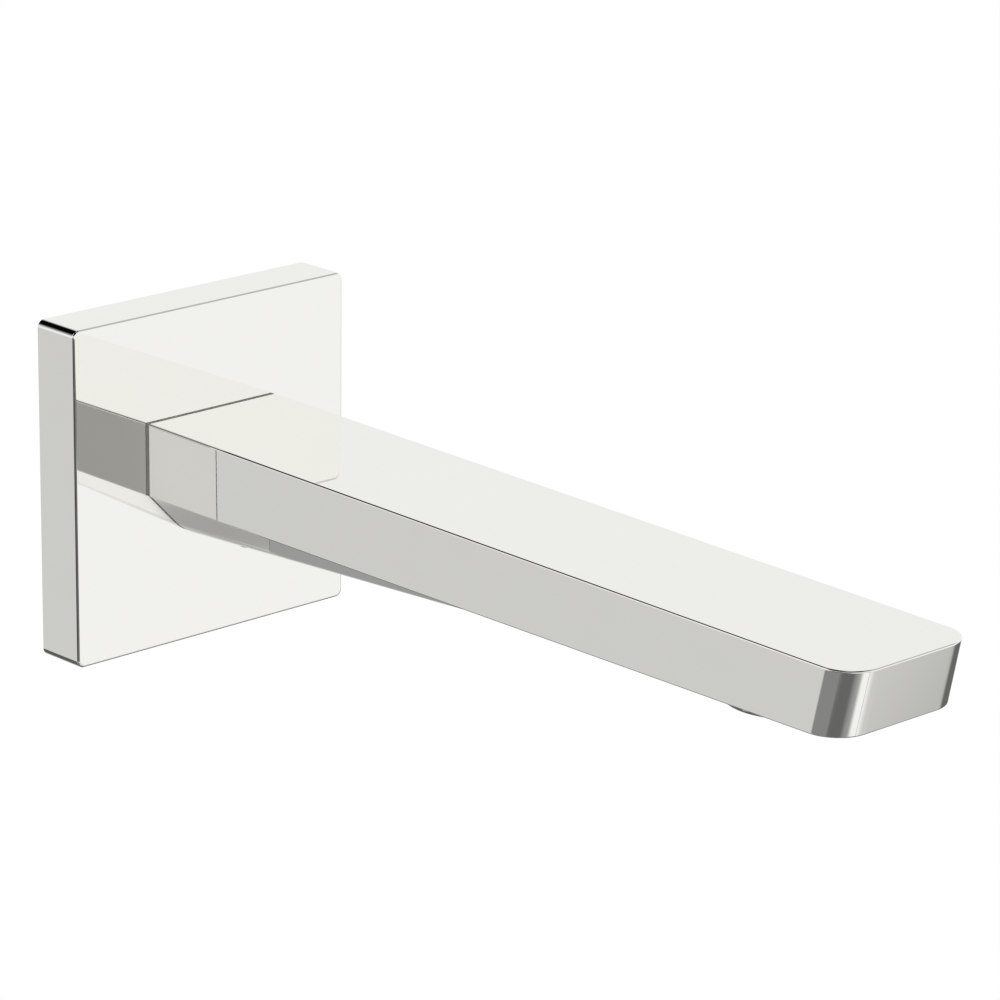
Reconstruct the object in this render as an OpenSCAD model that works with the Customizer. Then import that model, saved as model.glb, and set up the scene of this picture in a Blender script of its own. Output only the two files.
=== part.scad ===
// Wall-mounted bath spout: a flat cast spout on a square escutcheon.
// X runs to the right, Z up, and the spout reaches towards -Y.
// The origin is the centre of the connection on the finished wall.

/* [Escutcheon] */
// Width and height of the square plate
plate_w = 70; // [56:1:100]
// Depth of the plate from the wall to its front face
plate_t = 11.3; // [9.5:0.1:16]
// Radius of the four corners seen from the front
plate_corner_r = 1.6; // [0.8:0.1:4]
// Rounding of the edge round the front face
plate_edge_r = 0.5; // [0.2:0.1:0.8]
// Thickness of the four side walls
plate_wall = 2.2; // [1.6:0.1:3.5]
// Thickness of the front wall
plate_front = 2.4; // [1.8:0.1:3.2]
// Radial thickness of the hub round the opening
hub_wall = 3.4; // [2.9:0.1:5]
// Depth of the hub behind the front wall
hub_depth = 2.6; // [2:0.1:3]

/* [Wall seal] */
// Width of the foam seal along the rim of the plate
rim_seal_w = 3; // [2:0.1:5]
// Thickness of the foam seal
rim_seal_t = 1.6; // [1:0.1:2.5]
// Width of the ledge that the foam seal is glued to
rim_ledge_w = 2.4; // [1.5:0.1:4]

/* [Spout] */
// Distance from the wall to the top of the tip
spout_reach = 203; // [150:1:260]
// Width of the spout at the escutcheon
rear_w = 33.4; // [31:0.1:44]
// Width of the spout at the tip
tip_w = 32.8; // [30:0.1:44]
// Height of the spout's side at the escutcheon
side_h = 15.3; // [14.4:0.1:20]
// Fall of the top face from the escutcheon to the tip
top_fall = 2.2; // [0:0.1:2.5]
// Metal above the socket at the escutcheon
socket_roof = 3.7; // [2.5:0.1:6]
// Metal round the socket in the keel under the spout
keel_wall = 4.5; // [3.5:0.1:7]
// Distance from the wall at which the keel runs out
keel_end = 107; // [80:1:130]
// Angle by which the tip leans back towards the wall
tip_lean = 12; // [0:1:20]
// Radius of the two corners of the tip
tip_r = 7; // [3:0.5:12]
// Rounding of the edges round the top face
top_edge_r = 0.4; // [0.2:0.05:0.8]
// Rounding of the edges along the underside
low_edge_r = 0.3; // [0.15:0.05:0.6]
// Thickness of the flat seal between spout and escutcheon
rear_seal_t = 0.6; // [0.4:0.1:1.5]
// Distance of that seal from the outline of the spout
rear_seal_inset = 1.4; // [1:0.1:2.5]

/* [Waterway] */
// Width of the water channel
channel_w = 20; // [14:0.5:21]
// Metal under the channel
channel_floor = 2.6; // [2:0.1:3.5]
// Metal above the channel
channel_roof = 2.6; // [2:0.1:3.5]
// Rounding of the channel along its length
channel_r = 3; // [1:0.1:3.4]

/* [Connection] */
// Outer diameter of the G 1/2 pipe thread
thread_d = 20.955; // [16:0.001:27]
// Length of the thread behind the wall face
thread_l = 14; // [10:0.5:25]
// Width of the relief groove behind the thread
relief_l = 1.6; // [1:0.1:3]
// Depth of the relief groove
relief_depth = 1.3; // [0.8:0.1:1.6]
// Size across the flats of the nipple's hexagon
nipple_hex = 27; // [24:0.5:36]
// Thickness of the hexagon
nipple_hex_t = 3.6; // [2.5:0.1:4]
// Diameter of the shank that enters the spout
shank_d = 17.8; // [15:0.1:22]
// Length of the shank inside the spout
shank_l = 26.5; // [25:0.5:36]
// Bore through the nipple
nipple_bore = 10.4; // [8:0.1:10.4]
// Size across the flats of the hexagon socket for the key
key_size = 10; // [8:0.5:10.4]
// Depth of the hexagon socket
key_depth = 12; // [6:0.5:14]
// Clearance between shank and socket, on the radius
socket_fit = 0.1; // [0.05:0.01:0.2]
// Room between the end of the shank and the end of the socket
socket_end_gap = 1; // [0.5:0.1:2]

/* [Seals] */
// Depth of the O-ring grooves in the shank
ring_groove_depth = 1.5; // [1:0.1:1.8]
// Width of the O-ring grooves
ring_groove_w = 2.6; // [2:0.1:3]
// Distance from the spout's rear face to the first O-ring
ring_first = 17.5; // [16.5:0.1:20]
// Distance between the two O-rings
ring_pitch = 4.6; // [4:0.1:6]
// Space between a seal and the walls of its groove
seal_fit = 0.05; // [0.03:0.01:0.1]
// Thickness of the hub's O-ring, seen along the radius
hub_ring_t = 1.7; // [1.2:0.1:2.2]
// Outer diameter of the fibre washer on the wall fitting
washer_d = 26.4; // [24:0.1:35]
// Clearance of the fibre washer over the thread, on the radius
washer_fit = 0.2; // [0.1:0.05:0.4]

/* [Fixing screw] */
// Diameter of the grub screw
grub_d = 6; // [4:0.5:6]
// Distance of the screw from the spout's rear face
grub_y = 11.6; // [9:0.1:13]
// Depth of the screw's groove in the shank
grub_groove = 1; // [0.5:0.1:1.5]
// Length of the screw's cone point
grub_point = 1.2; // [0.8:0.1:1.6]
// Size across the flats of the screw's socket
grub_key = 3; // [2:0.5:3]
// Length of the screw
grub_l = 3.5; // [3:0.1:4.5]
// Clearance round the screw, on the radius
grub_fit = 0.05; // [0.03:0.01:0.1]
// Height that the cover cap stands below the keel
cap_proud = 0.95; // [0.5:0.05:2]

/* [Aerator] */
// Diameter of the aerator's thread
aerator_d = 24; // [20:0.5:24]
// Distance from the tip to the middle of the aerator
aerator_back = 29.5; // [24:0.5:45]
// Diameter of the rim below the spout
rim_d = 26; // [22:0.1:27]
// Height of that rim
rim_h = 2.3; // [1.5:0.1:4]
// Size across the rim's two flats
rim_flats = 24; // [21:0.1:26]
// Depth of the thread in the spout's underside
seat_depth = 7.2; // [6.8:0.1:7.4]
// Width of the ring-shaped seat for the aerator's flat seal
seat_w = 2; // [1.5:0.1:3]
// Thickness of the aerator's flat seal
aerator_seal_t = 1.6; // [1:0.1:2]
// Wall of the housing behind its thread
housing_wall = 1.4; // [1:0.1:2]
// Clearance of the parts inside the aerator
aerator_fit = 0.1; // [0.05:0.01:0.2]
// Width of the lip that holds the outlet grid
lip_w = 2.4; // [2:0.1:3]
// Height of the lip
lip_h = 1.2; // [0.8:0.1:1.6]
// Thickness of the outlet grid
grid_t = 1.6; // [1:0.1:2]
// Size across the flats of one cell of the outlet grid
cell_size = 1.7; // [1.2:0.1:2.4]
// Width of the web between two cells
cell_web = 0.5; // [0.3:0.05:0.8]
// Thickness of each wire screen
screen_t = 0.3; // [0.2:0.05:0.4]
// Height of the ring between the two screens
spacer_h = 1; // [0.6:0.1:1.4]
// Thickness of the jet plate
jet_plate_t = 1.1; // [0.8:0.1:1.5]
// Diameter of the jets
jet_d = 1.2; // [0.8:0.1:1.4]
// Number of jets in the outer row
jet_count = 16; // [10:1:20]
// Thickness of the strainer's flange
flange_t = 0.75; // [0.5:0.05:0.9]
// Height of the strainer's dome above its flange
dome_h = 3.2; // [2:0.1:3.4]
// Number of slots in the dome
dome_slots = 16; // [8:1:20]

/* [Hidden] */

// Colours
chrome = [0.87, 0.88, 0.89];
brass = [0.80, 0.66, 0.36];
steel = [0.66, 0.67, 0.69];
rubber = [0.12, 0.12, 0.13];
foam = [0.36, 0.37, 0.38];
fibre = [0.55, 0.20, 0.16];
acetal = [0.90, 0.91, 0.92];
acetal_grey = [0.55, 0.57, 0.60];

// Small distance by which a cut runs past the face it opens
past = 1;
// Depth of a lead-in chamfer
lead = 0.6;

// Places along the spout, all on the -Y side of the wall
rear_y = -(plate_t + rear_seal_t);
tip_y = -spout_reach;
keel_y = -keel_end;
shank_end_y = rear_y - shank_l;
socket_end_y = shank_end_y - socket_end_gap;
grub_at_y = rear_y - grub_y;
aerator_y = tip_y + aerator_back;

// Heights over the axis of the connection
socket_r = shank_d / 2 + socket_fit;
top_z = socket_r + socket_roof;
floor_z = top_z - side_h;
keel_r = socket_r + keel_wall;
seat_z = floor_z + seat_depth;

// The top face falls and the sides close in along the spout
function along(y) = (rear_y - y) / (rear_y - tip_y);
function roof_z(y) = top_z - top_fall * along(y);
function half_w(y) = (rear_w + (tip_w - rear_w) * along(y)) / 2;
// How far the tip has leaned back at height z
function lean(z) = (roof_z(tip_y) - z) * tan(tip_lean);

// Aerator sizes, from the thread inwards and from the spout's underside up
thread_r = aerator_d / 2;
chamber_r = thread_r - seat_w;
housing_r = thread_r - aerator_fit / 2;
insert_r = housing_r - housing_wall;
body_r = insert_r - aerator_fit;
body_wall = 1.8;
pack_r = body_r - body_wall - aerator_fit;
plate_ledge = 0.8;
jet_plate_r = body_r - body_wall + plate_ledge - aerator_fit;
dome_r = chamber_r - 2.4;
lip_z = floor_z - rim_h + lip_h;
flange_top_z = seat_z - aerator_seal_t;
body_top_z = flange_top_z - flange_t;
jet_floor_z = body_top_z - jet_plate_t;
screen_low_z = lip_z + grid_t;
spacer_z = screen_low_z + screen_t;
screen_up_z = spacer_z + spacer_h;

// O-rings and their grooves
groove_r = shank_d / 2 - ring_groove_depth;
hub_bore_r = shank_d / 2 + 0.25;
hub_groove_r = shank_d / 2 + hub_ring_t;
hub_r = hub_bore_r + hub_wall;
hub_back_y = -(plate_t - plate_front - hub_depth);
hub_groove_w = 2.4;
hub_groove_y = (hub_back_y - plate_t) / 2;

// Grub screw and its cap; the keel climbs to the underside along a straight line
grub_r = grub_d / 2 - grub_fit;
grub_top_z = -(shank_d / 2 - grub_groove + seal_fit);
grub_low_z = grub_top_z - grub_l;
keel_climb = (rear_y - grub_at_y) / (rear_y - keel_y);
cap_face_z = -keel_r + (floor_z + keel_r) * keel_climb - cap_proud;

// Foam seal under the rim
rim_outer = plate_w / 2 - plate_wall;
ledge_inner = rim_outer - rim_ledge_w;
ledge_t = 1.2;

// Cylinder on the axis of the connection, from y0 towards the tip at y1
module y_rod(r, y0, y1, fn = 96)
    translate([0, y0, 0]) rotate([90, 0, 0]) cylinder(r = r, h = y0 - y1, $fn = fn);

// Cone on the same axis
module y_cone(r0, r1, y0, y1)
    translate([0, y0, 0]) rotate([90, 0, 0]) cylinder(r1 = r0, r2 = r1, h = y0 - y1, $fn = 96);

// Upright cylinder on the axis of the aerator, from z0 up to z1
module z_rod(r, z0, z1, fn = 96)
    translate([0, aerator_y, z0]) cylinder(r = r, h = z1 - z0, $fn = fn);

// Ring of rubber squeezed between two radii: flat inside and outside, round at its ends
module pressed_ring(r0, r1, w) {
    r = min(r1 - r0, w) * 0.35;
    rotate_extrude($fn = 96)
        for (x = [r0 + r, r1 - r], y = [r - w / 2, w / 2 - r]) {
            translate([x, y]) circle(r = r, $fn = 24);
            translate([r0, r - w / 2]) square([r1 - r0, w - 2 * r]);
            translate([r0 + r, -w / 2]) square([r1 - r0 - 2 * r, w]);
        }
}

// Section of the plate at its edge, with the rounding at the front; x = 0 is inside
module edge_section(reach) {
    square([reach - plate_edge_r, plate_t]);
    square([reach, plate_t - plate_edge_r]);
    translate([reach - plate_edge_r, plate_t - plate_edge_r]) circle(r = plate_edge_r, $fn = 48);
}

// Solid plate with rounded corners and a rounded front edge, standing on the wall
module plate_block() {
    mid = plate_w / 2 - plate_corner_r;
    rotate([90, 0, 0]) {
        for (x = [-mid, mid], y = [-mid, mid])
            translate([x, y, 0]) rotate_extrude($fn = 96) edge_section(plate_corner_r);
        for (a = [0:90:270])
            rotate(a) translate([mid - past, mid, 0]) rotate([90, 0, 0])
                linear_extrude(height = 2 * mid) edge_section(plate_corner_r + past);
        translate([-mid, -mid, 0]) cube([2 * mid, 2 * mid, plate_t]);
    }
}

// Box round the Y axis from y0 towards the tip at y1, half as wide as h
module y_box(h, y0, y1)
    translate([-h, y1, -h]) cube([2 * h, y0 - y1, 2 * h]);

// Hollow square cover: side walls, front wall, hub for the nipple, ledge for the foam
module escutcheon() {
    color(chrome) difference() {
        union() {
            difference() {
                plate_block();
                y_box(rim_outer, past, -(plate_t - plate_front));
            }
            difference() {
                y_box(rim_outer + plate_wall / 2, -rim_seal_t, -rim_seal_t - ledge_t);
                y_box(ledge_inner, past, -plate_t);
            }
            y_rod(hub_r, hub_back_y, -plate_t + plate_front / 2);
        }
        y_rod(hub_bore_r, past, -plate_t - past);
        y_rod(hub_groove_r, hub_groove_y + hub_groove_w / 2, hub_groove_y - hub_groove_w / 2);
    }
}

// Square foam frame on the ledge, flush with the wall
module escutcheon_rim_seal() {
    color(foam) difference() {
        y_box(rim_outer - seal_fit, 0, -rim_seal_t);
        y_box(rim_outer - rim_seal_w, past, -rim_seal_t - past);
    }
}

// Seal between the hub and the shank
module escutcheon_o_ring() {
    color(rubber) translate([0, hub_groove_y, 0]) rotate([90, 0, 0])
        pressed_ring(shank_d / 2 + seal_fit, hub_groove_r - seal_fit, hub_groove_w - 2 * seal_fit);
}

// Turned nipple: pipe thread into the wall, hexagon, sealed shank into the spout
module connection_nipple() {
    hex_back_y = -relief_l;
    hex_front_y = hex_back_y - nipple_hex_t;
    color(brass) difference() {
        union() {
            y_rod(thread_d / 2, thread_l - lead, 0);
            y_cone(thread_d / 2 - lead, thread_d / 2, thread_l, thread_l - lead);
            y_rod(thread_d / 2 - relief_depth, past, hex_back_y - past);
            intersection() {
                y_rod(nipple_hex / sqrt(3), hex_back_y, hex_front_y, 6);
                y_rod(nipple_hex / sqrt(3) - 0.9, hex_back_y, hex_front_y);
            }
            y_rod(shank_d / 2, hex_back_y - past, shank_end_y + lead);
            y_cone(shank_d / 2, shank_d / 2 - lead, shank_end_y + lead, shank_end_y);
        }
        y_rod(nipple_bore / 2, thread_l + past, shank_end_y - past);
        y_rod(key_size / sqrt(3), shank_end_y + key_depth, shank_end_y - past, 6);
        for (k = [0, 1])
            shank_groove(groove_r, ring_y(k), ring_groove_w);
        screw_groove();
    }
}

// Middle of the O-ring with this number, 0 for the one nearer the wall
function ring_y(k) = rear_y - ring_first - k * ring_pitch;

// Square groove round the shank
module shank_groove(r, y, w)
    difference() {
        y_rod(shank_d / 2 + past, y + w / 2, y - w / 2);
        y_rod(r, y + w, y - w);
    }

// Groove with sloping sides that fits the cone point of the grub screw
module screw_groove() {
    low = grub_r - grub_point + seal_fit;
    high = low + grub_groove + past;
    translate([0, grub_at_y, 0]) rotate([90, 0, 0]) rotate_extrude($fn = 96)
        polygon([[shank_d / 2 - grub_groove, -low], [shank_d / 2 + past, -high],
            [shank_d / 2 + past, high], [shank_d / 2 - grub_groove, low]]);
}

// Flat washer between the hexagon and the wall fitting
module nipple_fibre_washer() {
    color(fibre) difference() {
        y_rod(washer_d / 2, 0, -relief_l);
        y_rod(thread_d / 2 + washer_fit, past, -relief_l - past);
    }
}

module shank_ring(k) {
    color(rubber) translate([0, ring_y(k), 0]) rotate([90, 0, 0])
        pressed_ring(groove_r + seal_fit, socket_r - seal_fit, ring_groove_w - 2 * seal_fit);
}
module nipple_o_ring_rear() { shank_ring(0); }
module nipple_o_ring_front() { shank_ring(1); }

// Plan of the spout at one level, drawn in by e; from the rear left corner round the tip
arc_steps = 16;
edge_steps = 5;
function side_arc(e, y, flip) = [for (k = [0:arc_steps])
    let (a = (flip > 0 ? k : arc_steps - k) * 90 / arc_steps)
    [-flip * (half_w(y) - tip_r + (tip_r - e) * cos(a)), y - (tip_r - e) * sin(a)]];
function plan(e, z) =
    let (y = tip_y + lean(z) + tip_r)
    concat([[e - half_w(rear_y), rear_y]], side_arc(e, y, 1), side_arc(e, y, -1),
        [[half_w(rear_y) - e, rear_y]]);

// Levels of the outside: the rounding at the top, then the one at the bottom
function top_level(a) =
    let (drop = top_edge_r * (1 - sin(a)))
    [for (p = plan(top_edge_r * (1 - cos(a)), roof_z(tip_y) - drop)) [p.x, p.y, roof_z(p.y) - drop]];
function low_level(a) =
    let (lift = low_edge_r * (1 - sin(a)))
    [for (p = plan(low_edge_r * (1 - cos(a)), floor_z + lift)) [p.x, p.y, floor_z + lift]];
levels = concat([for (k = [0:edge_steps]) top_level(90 - k * 90 / edge_steps)],
    [for (k = [0:edge_steps]) low_level(k * 90 / edge_steps)]);
level_n = len(levels[0]);

// Flat bar of the spout: the levels skinned from top to bottom
module bar() {
    rows = len(levels) - 1;
    polyhedron(
        points = [for (level = levels) each level],
        faces = concat(
            [[for (k = [level_n - 1:-1:0]) k]],
            [[for (k = [0:level_n - 1]) rows * level_n + k]],
            [for (j = [0:rows - 1], k = [0:level_n - 1], half = [0, 1])
                let (a = j * level_n + k, b = j * level_n + (k + 1) % level_n)
                half == 0 ? [a, b, a + level_n] : [b, b + level_n, a + level_n]]));
}

// Keel round the socket: a round section at the rear drawn out to a straight line.
// Its top is sunk into the bar, and the line lies a little further on for that depth.
module keel() {
    inset = low_edge_r + 0.1;
    sunk = 0.1;
    bed = floor_z + sunk;
    line_y = keel_y - sunk * (rear_y - keel_y) / (floor_z + keel_r);
    hull() {
        translate([0, rear_y, 0]) rotate([90, 0, 0]) linear_extrude(height = 0.4) {
            intersection() {
                circle(r = keel_r, $fn = 128);
                translate([-keel_r, -keel_r]) square([2 * keel_r, keel_r + bed]);
            }
            translate([inset - half_w(rear_y), bed]) square([2 * (half_w(rear_y) - inset), past]);
        }
        translate([inset - half_w(line_y), line_y, bed])
            cube([2 * (half_w(line_y) - inset), 0.4, past]);
    }
}

// Side profile of the water channel, with the step up to the aerator's seat
module channel_profile() {
    low = floor_z + channel_floor;
    high = seat_z + 0.3;
    climb_y = aerator_y + thread_r + 2.4;
    polygon([[socket_end_y + 2, low], [climb_y + (high - low), low], [climb_y, high],
        [aerator_y, high], [aerator_y, roof_z(aerator_y) - channel_roof],
        [socket_end_y + 2, roof_z(socket_end_y + 2) - channel_roof]]);
}

// Channel from the socket to the chamber over the aerator
module waterway() {
    low = floor_z + channel_floor;
    tall = roof_z(socket_end_y) - channel_roof - low + 0.2;
    intersection() {
        translate([-channel_w, 0, 0]) rotate([90, 0, 90])
            linear_extrude(height = 2 * channel_w) channel_profile();
        translate([0, socket_end_y + 3, 0]) rotate([90, 0, 0])
            linear_extrude(height = spout_reach) channel_section(low, tall);
    }
    z_rod(chamber_r, seat_z - past, roof_z(aerator_y - chamber_r) - channel_roof);
}

// Section of the channel across the spout, with its corners rounded
module channel_section(low, tall) {
    mid = channel_w / 2 - channel_r;
    for (x = [-mid, mid], y = [low + channel_r, low + tall - channel_r])
        translate([x, y]) circle(r = channel_r, $fn = 48);
    translate([-mid, low]) square([2 * mid, tall]);
    translate([-channel_w / 2, low + channel_r]) square([channel_w, tall - 2 * channel_r]);
}

// Cast spout: bar and keel, with the socket, the channel and the aerator's seat
module spout_body() {
    keel_low_z = -keel_r - cap_proud - past;
    color(chrome) difference() {
        union() {
            bar();
            keel();
        }
        y_rod(socket_r, rear_y + past, socket_end_y);
        y_cone(socket_r + lead + past, socket_r, rear_y + past, rear_y - lead);
        waterway();
        z_rod(thread_r, floor_z - past, seat_z);
        translate([0, grub_at_y, keel_low_z])
            cylinder(r = grub_d / 2, h = -keel_low_z - socket_r + past, $fn = 64);
    }
}

// Outline of the spout's rear face, drawn in by an inset
module rear_outline(inset) {
    w = half_w(rear_y) - inset;
    r = keel_r - inset;
    low = floor_z + inset;
    // angle at which a line from the lower corner meets the circle
    turn = 180 + atan2(-low, w) + acos(r / norm([w, low]));
    touch = [r * cos(turn), r * sin(turn)];
    translate([-w, low]) square([2 * w, top_z - inset - low]);
    polygon([[-w, low], touch, [-touch.x, touch.y], [w, low]]);
    intersection() {
        circle(r = r, $fn = 128);
        translate([-r, -r]) square([2 * r, r]);
    }
}

// Flat seal that leaves a shadow line between the spout and the escutcheon
module spout_rear_seal() {
    color(rubber) translate([0, -plate_t, 0]) rotate([90, 0, 0])
        linear_extrude(height = rear_seal_t) difference() {
            rear_outline(rear_seal_inset);
            circle(r = socket_r + lead + 0.2, $fn = 96);
        }
}

// Grub screw with a cone point and a hexagon socket
module grub_screw() {
    cone_z = grub_top_z - grub_point;
    color(steel) translate([0, grub_at_y, 0]) difference() {
        union() {
            translate([0, 0, grub_low_z]) cylinder(r = grub_r, h = cone_z - grub_low_z, $fn = 64);
            translate([0, 0, cone_z])
                cylinder(r1 = grub_r, r2 = grub_r - grub_point, h = grub_point, $fn = 64);
        }
        translate([0, 0, grub_low_z - past])
            cylinder(r = grub_key / sqrt(3), h = past + (grub_top_z - grub_low_z) * 0.55, $fn = 6);
    }
}

// Cap that closes the screw's hole, standing a little proud of the keel
module screw_cap() {
    dome = 0.25;
    color(chrome) translate([0, grub_at_y, 0]) {
        translate([0, 0, cap_face_z + dome])
            cylinder(r = grub_r, h = grub_low_z - cap_face_z - dome, $fn = 64);
        translate([0, 0, cap_face_z]) cylinder(r1 = grub_r - dome, r2 = grub_r, h = dome, $fn = 64);
    }
}

// Threaded ring of the aerator: thread, rim with two flats and the lip at the bottom
module aerator_housing() {
    rim_edge = 0.5;
    rim_z = floor_z - rim_h;
    lip_r = insert_r - lip_w;
    color(chrome) difference() {
        union() {
            intersection() {
                translate([0, aerator_y, rim_z]) rotate_extrude($fn = 128) {
                    square([rim_d / 2 - rim_edge, rim_h]);
                    translate([0, rim_edge]) square([rim_d / 2, rim_h - rim_edge]);
                    translate([rim_d / 2 - rim_edge, rim_edge]) circle(r = rim_edge, $fn = 32);
                }
                translate([-rim_d, aerator_y - rim_flats / 2, rim_z - past])
                    cube([2 * rim_d, rim_flats, rim_h + 2 * past]);
            }
            z_rod(housing_r, floor_z - rim_h / 2, body_top_z + flange_t);
        }
        z_rod(insert_r, lip_z, seat_z + past);
        z_rod(lip_r, rim_z - past, lip_z + past);
        translate([0, aerator_y, rim_z - 0.01])
            cylinder(r1 = lip_r + lip_h / 2, r2 = lip_r, h = lip_h / 2, $fn = 96);
    }
}

// Flat seal between the aerator and its seat in the spout
module aerator_seal() {
    color(rubber) difference() {
        z_rod(thread_r - 0.6, flange_top_z, seat_z);
        z_rod(chamber_r - 1.2, flange_top_z - past, seat_z + past);
    }
}

// Strainer: a flange with a slotted dome that keeps grit out
module aerator_strainer() {
    wall = 0.8;
    top_r = dome_r - 2.2;
    color(acetal_grey) translate([0, aerator_y, body_top_z]) difference() {
        union() {
            cylinder(r = body_r, h = flange_t, $fn = 96);
            translate([0, 0, flange_t]) cylinder(r1 = dome_r, r2 = top_r, h = dome_h, $fn = 96);
        }
        translate([0, 0, -0.01]) cylinder(r = dome_r - wall, h = flange_t + 0.02, $fn = 96);
        translate([0, 0, flange_t]) cylinder(r1 = dome_r - wall, r2 = top_r - wall, h = dome_h - wall, $fn = 96);
        for (k = [0:dome_slots - 1])
            rotate(k * 360 / dome_slots)
                translate([top_r - wall - 0.6, -0.35, flange_t + 0.5]) cube([3.4, 0.7, dome_h - wall - 0.7]);
    }
}

// Jet plate: a disc with two rows of small jets
module aerator_jet_plate() {
    color(acetal) translate([0, aerator_y, jet_floor_z]) difference() {
        cylinder(r = jet_plate_r, h = jet_plate_t, $fn = 96);
        for (k = [0:jet_count - 1])
            rotate(k * 360 / jet_count)
                translate([jet_plate_r - 2.4, 0, -past])
                    cylinder(d = jet_d, h = jet_plate_t + 2 * past, $fn = 24);
        for (k = [0:jet_count / 2 - 1])
            rotate((k + 0.5) * 720 / jet_count)
                translate([jet_plate_r - 5, 0, -past])
                    cylinder(d = jet_d, h = jet_plate_t + 2 * past, $fn = 24);
    }
}

// Insert body: a ring that carries the jet plate and lets air in at its foot
module aerator_body() {
    inner = body_r - body_wall;
    slot_n = 8;
    color(acetal) difference() {
        z_rod(body_r, lip_z, body_top_z);
        z_rod(inner, lip_z - past, body_top_z + past);
        z_rod(inner + plate_ledge, jet_floor_z, body_top_z + past);
        for (k = [0:slot_n - 1])
            translate([0, aerator_y, lip_z + grid_t + 1.6]) rotate(k * 360 / slot_n)
                translate([inner - past, -1, 0]) cube([body_wall + 2 * past, 2, 0.7]);
    }
}

// Fine wire screen, drawn as a thin perforated disc
module screen(z) {
    hole = 1.3;
    pitch = 2.2;
    reach = floor((pack_r - 1.6) / pitch);
    color(steel) translate([0, aerator_y, z]) difference() {
        cylinder(r = pack_r, h = screen_t, $fn = 96);
        for (i = [-reach:reach], j = [-reach:reach])
            if (norm([i, j]) * pitch + hole < pack_r - 0.6)
                translate([i * pitch - hole / 2, j * pitch - hole / 2, -past])
                    cube([hole, hole, screen_t + 2 * past]);
    }
}
module aerator_screen_upper() { screen(screen_up_z); }
module aerator_screen_lower() { screen(screen_low_z); }

// Ring that keeps the two screens apart
module aerator_screen_spacer() {
    color(acetal) difference() {
        z_rod(pack_r, spacer_z, screen_up_z);
        z_rod(pack_r - 1, spacer_z - past, screen_up_z + past);
    }
}

// Outlet grid: a honeycomb that straightens the stream
module aerator_outlet_grid() {
    step = cell_size + cell_web;
    rows = ceil(pack_r / (step * sin(60)));
    color(acetal_grey) translate([0, aerator_y, lip_z]) difference() {
        cylinder(r = pack_r, h = grid_t, $fn = 96);
        for (j = [-rows:rows], i = [-rows:rows])
            let (x = (i + (j % 2 == 0 ? 0 : 0.5)) * step, y = j * step * sin(60))
                if (norm([x, y]) < pack_r - 0.5 - cell_size * 0.6)
                    translate([x, y, -past]) rotate(30)
                        cylinder(r = cell_size / sqrt(3), h = grid_t + 2 * past, $fn = 6);
    }
}

escutcheon();
escutcheon_rim_seal();
escutcheon_o_ring();
connection_nipple();
nipple_fibre_washer();
nipple_o_ring_rear();
nipple_o_ring_front();
spout_body();
spout_rear_seal();
grub_screw();
screw_cap();
aerator_housing();
aerator_seal();
aerator_strainer();
aerator_jet_plate();
aerator_body();
aerator_screen_upper();
aerator_screen_spacer();
aerator_screen_lower();
aerator_outlet_grid();
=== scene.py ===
import math

import bmesh
import bpy
from mathutils import Matrix, Vector


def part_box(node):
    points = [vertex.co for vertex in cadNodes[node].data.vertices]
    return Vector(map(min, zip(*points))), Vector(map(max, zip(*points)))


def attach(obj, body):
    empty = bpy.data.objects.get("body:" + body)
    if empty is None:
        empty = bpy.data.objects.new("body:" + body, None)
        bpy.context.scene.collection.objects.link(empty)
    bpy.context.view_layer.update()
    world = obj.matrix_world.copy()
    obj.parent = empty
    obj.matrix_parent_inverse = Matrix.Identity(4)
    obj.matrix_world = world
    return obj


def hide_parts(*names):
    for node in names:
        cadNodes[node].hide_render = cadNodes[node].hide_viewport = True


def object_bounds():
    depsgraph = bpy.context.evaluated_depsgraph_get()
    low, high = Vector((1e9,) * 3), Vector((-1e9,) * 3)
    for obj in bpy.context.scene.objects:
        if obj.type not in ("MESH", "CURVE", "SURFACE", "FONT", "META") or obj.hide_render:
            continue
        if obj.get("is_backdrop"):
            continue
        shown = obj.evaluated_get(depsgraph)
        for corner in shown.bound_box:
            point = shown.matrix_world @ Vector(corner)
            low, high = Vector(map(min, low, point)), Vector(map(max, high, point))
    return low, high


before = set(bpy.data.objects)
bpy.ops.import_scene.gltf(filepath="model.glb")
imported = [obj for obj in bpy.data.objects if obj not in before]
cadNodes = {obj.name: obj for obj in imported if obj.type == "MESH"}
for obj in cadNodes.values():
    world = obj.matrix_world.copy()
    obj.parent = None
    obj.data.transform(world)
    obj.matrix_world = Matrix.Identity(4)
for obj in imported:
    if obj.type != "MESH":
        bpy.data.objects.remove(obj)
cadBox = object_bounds()
scene = bpy.context.scene
mm = 0.001
print("frame loaded with", len(cadNodes), "pieces")


# Camera: where the photograph was taken from
cameraSetup = {
    "azimuth": -43.206,      # degrees round the object, 0 is straight in front of the tip
    "elevation": 17.601,     # degrees above the horizon
    "roll": 0.667,           # degrees, anticlockwise
    "place": (-0.60635, -0.74207, 0.29462),
    "lens": 176.567,         # millimetres on a 36 mm sensor
}


def placeCamera(setup):
    azimuth, elevation, roll = (math.radians(setup[key]) for key in ("azimuth", "elevation", "roll"))
    back = Vector((math.sin(azimuth) * math.cos(elevation), -math.cos(azimuth) * math.cos(elevation),
                   math.sin(elevation)))
    level = Vector((math.cos(azimuth), math.sin(azimuth), 0))
    right = level * math.cos(roll) + back.cross(level) * math.sin(roll)
    up = back.cross(right)
    data = bpy.data.cameras.new("studioCamera")
    data.lens = setup["lens"]
    data.sensor_width = 36
    data.clip_start = 0.05
    data.clip_end = 100
    camera = bpy.data.objects.new("studioCamera", data)
    camera.matrix_world = Matrix.Translation(setup["place"]) @ Matrix((right, up, back)).transposed().to_4x4()
    scene.collection.objects.link(camera)
    scene.camera = camera


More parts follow.
